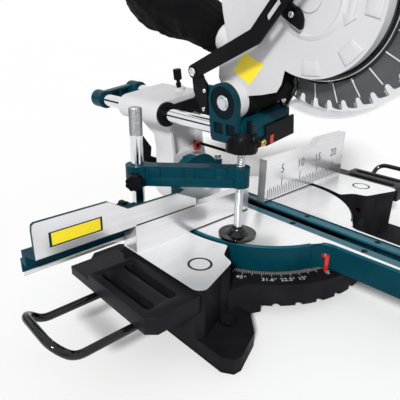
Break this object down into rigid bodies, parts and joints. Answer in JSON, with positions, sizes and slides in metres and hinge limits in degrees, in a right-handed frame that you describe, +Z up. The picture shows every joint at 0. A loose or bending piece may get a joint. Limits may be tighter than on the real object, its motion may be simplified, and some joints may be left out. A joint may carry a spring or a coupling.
{
  "type": "sliding compound mitre saw",
  "caption": "Bench mitre saw: turning table with a fence and work clamp, leaning arm with slide rails, and a sprung saw head with guarded blade, motor and dust bag.",
  "frame": {"origin": "on the bench, under the turntable's pivot axis", "axes": "+Z up, +Y from the operator to the back of the saw, +X to the operator's right"},
  "size_m": [0.772, 0.758, 0.6339],
  "materials": {
    "black_casting": "fine textured black paint",
    "rubber": "matt",
    "pale_casting": "satin pale grey paint",
    "black_plastic": "satin",
    "gloss_black": "gloss black paint",
    "bright_aluminium": "fine brushed",
    "steel": "bright",
    "chrome": "polished",
    "teal_paint": "satin teal paint",
    "red_plastic": "gloss",
    "brass": "turned",
    "smoked_plastic": "clear smoked",
    "bag_fabric": "woven"
  },
  "bodies": {
    "base": {"base_casting": "black_casting", "foot_pads": "rubber", "wing_plates": "pale_casting", "wing_ends": "black_plastic", "fence_left": "bright_aluminium", "fence_right": "bright_aluminium", "fence_bolts": "steel"},
    "bar_left": {"extension_bar_left": "gloss_black"},
    "bar_right": {"extension_bar_right": "gloss_black"},
    "bar_screw_left": {"bar_lock_left": "black_plastic"},
    "bar_screw_right": {"bar_lock_right": "black_plastic"},
    "fence_slide": {"sliding_fence": "teal_paint"},
    "fence_knob": {"fence_lock_knob": "black_plastic"},
    "clamp_column": {"clamp_post": "chrome"},
    "clamp_beam": {"clamp_arm": "teal_paint"},
    "clamp_set": {"clamp_set_knob": "black_plastic"},
    "clamp_shoe": {"clamp_foot": "black_plastic"},
    "clamp_spindle": {"clamp_screw": "chrome", "clamp_knob": "black_plastic"},
    "table": {"turntable": "teal_paint", "kerf_insert": "teal_paint", "insert_screws": "steel", "mitre_pointer": "red_plastic", "bevel_scale": "bright_aluminium", "bevel_stop_bolt": "steel", "bevel_pivot_bolt": "steel"},
    "table_grip": {"mitre_handle": "black_plastic"},
    "table_lever": {"detent_lever": "black_plastic"},
    "tilt_arm": {"bevel_arm": "pale_casting", "rail_gasket": "black_plastic", "rail_bushes": "black_plastic", "bevel_pointer": "red_plastic", "stop_rod": "black_plastic"},
    "tilt_lever": {"bevel_lever": "black_plastic"},
    "slide_lock": {"slide_lock_knob": "black_plastic"},
    "carriage": {"rails": "chrome", "rear_bracket": "teal_paint", "pivot_bracket": "teal_paint", "pivot_bolt": "chrome", "guard_strap": "black_plastic", "laser_box": "black_plastic", "laser_nozzle": "brass"},
    "laser_rocker": {"laser_switch": "red_plastic"},
    "head_pin": {"head_lock_pin": "black_plastic"},
    "head": {"head_casting": "pale_casting", "cover_rings": "pale_casting", "link_bracket": "black_plastic", "chip_deflector": "rubber", "motor_housing": "teal_paint", "motor_cap": "black_plastic", "handle": "black_plastic", "dust_spout": "pale_casting", "dust_bag": "bag_fabric"},
    "switch_trigger": {"trigger": "black_plastic"},
    "switch_lock": {"lock_off_button": "red_plastic"},
    "saw_blade": {"blade": "steel", "blade_flanges": "steel"},
    "guard": {"lower_guard": "smoked_plastic", "guard_lever": "black_plastic"},
    "guard_rod": {"guard_link": "gloss_black"}
  },
  "joints": [
    {"name": "bar_left_slide", "type": "slide", "parent": "base", "child": "bar_left", "axis": [-1, 0, 0], "range_m": [-0.02, 0.025]},
    {"name": "bar_right_slide", "type": "slide", "parent": "base", "child": "bar_right", "axis": [1, 0, 0], "range_m": [-0.02, 0.025]},
    {"name": "bar_screw_left_turn", "type": "hinge", "parent": "base", "child": "bar_screw_left", "pos_m": [-0.195, -0.008, 0.03], "axis": [0, 0, 1], "range_deg": [-180, 180]},
    {"name": "bar_screw_right_turn", "type": "hinge", "parent": "base", "child": "bar_screw_right", "pos_m": [0.195, -0.008, 0.03], "axis": [0, 0, 1], "range_deg": [-180, 180]},
    {"name": "fence_slide_travel", "type": "slide", "parent": "base", "child": "fence_slide", "axis": [1, 0, 0], "range_m": [-0.015, 0.07]},
    {"name": "fence_knob_turn", "type": "hinge", "parent": "fence_slide", "child": "fence_knob", "pos_m": [-0.233, 0.026, 0.133], "axis": [0, 1, 0], "range_deg": [-90, 90]},
    {"name": "clamp_swing", "type": "hinge", "parent": "base", "child": "clamp_column", "pos_m": [-0.198, 0.044, 0.1], "axis": [0, 0, 1], "range_deg": [-80, 5]},
    {"name": "clamp_height", "type": "slide", "parent": "clamp_column", "child": "clamp_beam", "axis": [0, 0, 1], "range_m": [0, 0.04]},
    {"name": "clamp_set_turn", "type": "hinge", "parent": "clamp_beam", "child": "clamp_set", "pos_m": [-0.198, 0.044, 0.166], "axis": [0.704, 0.7102, 0], "range_deg": [-90, 90]},
    {"name": "clamp_shoe_travel", "type": "slide", "parent": "clamp_beam", "child": "clamp_shoe", "axis": [0, 0, 1], "range_m": [0, 0.045]},
    {"name": "clamp_screw_turn", "type": "hinge", "parent": "clamp_shoe", "child": "clamp_spindle", "pos_m": [-0.1055, -0.0477, 0.15], "axis": [0, 0, 1], "range_deg": [0, 5400]},
    {"name": "mitre_turn", "type": "hinge", "parent": "base", "child": "table", "pos_m": [0, 0, 0.06], "axis": [0, 0, -1], "range_deg": [-45, 45]},
    {"name": "mitre_grip_turn", "type": "hinge", "parent": "table", "child": "table_grip", "pos_m": [0, -0.36, 0.066], "axis": [0, 1, 0], "range_deg": [-90, 90]},
    {"name": "detent_squeeze", "type": "hinge", "parent": "table", "child": "table_lever", "pos_m": [0, -0.259, 0.058], "axis": [-1, 0, 0], "range_deg": [0, 2.5], "stiffness_Nm_per_rad": 8, "springref_deg": -2.86},
    {"name": "bevel_turn", "type": "hinge", "parent": "table", "child": "tilt_arm", "pos_m": [0, 0.16, 0.085], "axis": [0, -1, 0], "range_deg": [-8.5, 22.5]},
    {"name": "bevel_lever_turn", "type": "hinge", "parent": "tilt_arm", "child": "tilt_lever", "pos_m": [0, 0.224, 0.085], "axis": [0, -1, 0], "range_deg": [0, 25]},
    {"name": "slide_lock_turn", "type": "hinge", "parent": "tilt_arm", "child": "slide_lock", "pos_m": [-0.00585, 0.19, 0.2459], "axis": [-0.1478, 0, 0.989], "range_deg": [-90, 90]},
    {"name": "head_slide", "type": "slide", "parent": "tilt_arm", "child": "carriage", "axis": [0, 1, 0], "range_m": [-0.06, 0.092]},
    {"name": "laser_rock", "type": "hinge", "parent": "carriage", "child": "laser_rocker", "pos_m": [-0.01055, -0.0192, 0.19616], "axis": [0.989, 0, 0.1478], "range_deg": [-10, 10]},
    {"name": "head_pin_pull", "type": "slide", "parent": "carriage", "child": "head_pin", "axis": [0.989, 0, 0.1478], "range_m": [0, 0.006]},
    {"name": "head_chop", "type": "hinge", "parent": "carriage", "child": "head", "pos_m": [-0.02587, 0.01, 0.25808], "axis": [-0.989, 0, -0.1478], "range_deg": [-64.4, 0], "stiffness_Nm_per_rad": 2.3, "springref_deg": 97.4},
    {"name": "trigger_squeeze", "type": "slide", "parent": "head", "child": "switch_trigger", "axis": [-0.1025, 0.7206, 0.6858], "range_m": [0, 0.006], "stiffness_N_per_m": 600, "springref_m": -0.003},
    {"name": "lock_off_push", "type": "slide", "parent": "head", "child": "switch_lock", "axis": [0.989, 0, 0.1478], "range_m": [0, 0.003], "stiffness_N_per_m": 500, "springref_m": -0.003},
    {"name": "blade_spin", "type": "hinge", "parent": "head", "child": "saw_blade", "pos_m": [-0.04391, -0.10746, 0.3788], "axis": [0.989, 0, 0.1478], "continuous": true},
    {"name": "guard_swing", "type": "hinge", "parent": "head", "child": "guard", "pos_m": [-0.04391, -0.10746, 0.3788], "axis": [0.989, 0, 0.1478], "range_deg": [-131, 0]},
    {"name": "guard_rod_swing", "type": "hinge", "parent": "carriage", "child": "guard_rod", "pos_m": [-0.09221, 0.056, 0.28658], "axis": [-0.989, 0, -0.1478], "range_deg": [-53, 0]}
  ],
  "couplings": [
    {"joint": "guard_swing", "follows": "head_chop", "ratio": 2.02},
    {"joint": "guard_rod_swing", "follows": "head_chop", "ratio": 0.806},
    {"joint": "clamp_screw_turn", "follows": "clamp_shoe_travel", "rad_per_m": 2094.4}
  ]
}
